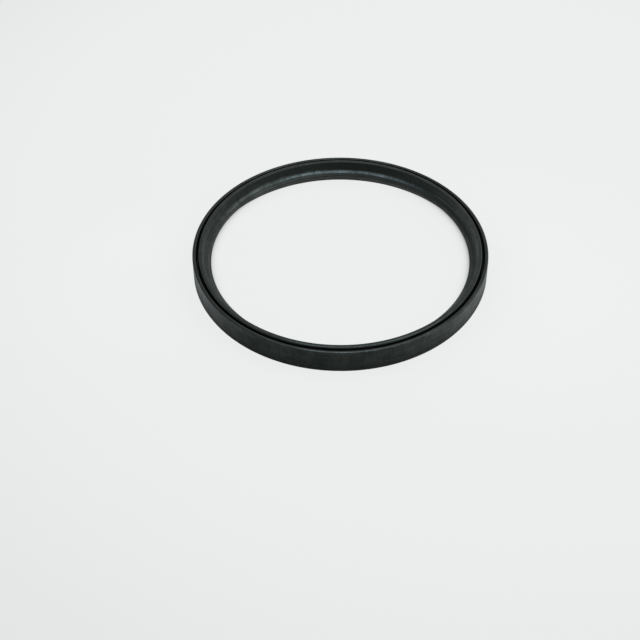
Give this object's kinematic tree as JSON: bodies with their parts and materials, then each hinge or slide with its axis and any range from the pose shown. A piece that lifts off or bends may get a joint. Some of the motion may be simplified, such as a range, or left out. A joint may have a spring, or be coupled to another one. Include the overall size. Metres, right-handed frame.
{
  "type": "lipped o-ring",
  "caption": "Moulded rubber sealing ring with a straight outer wall, a thin rim, a narrow groove in the top face and a lip whose inner face leans in, flares and turns down over a blunt nose.",
  "frame": {"origin": "centre of the ring, on the plane that its foot stands on", "axes": "+Z along the ring's axis, from the foot to the grooved face; the ring is the same all the way round, so +X and +Y are free"},
  "size_m": [0.1, 0.1, 0.0089],
  "materials": {
    "nitrile_rubber": "black moulded rubber, satin"
  },
  "bodies": {
    "root": {"seal_ring": "nitrile_rubber"}
  },
  "joints": []
}
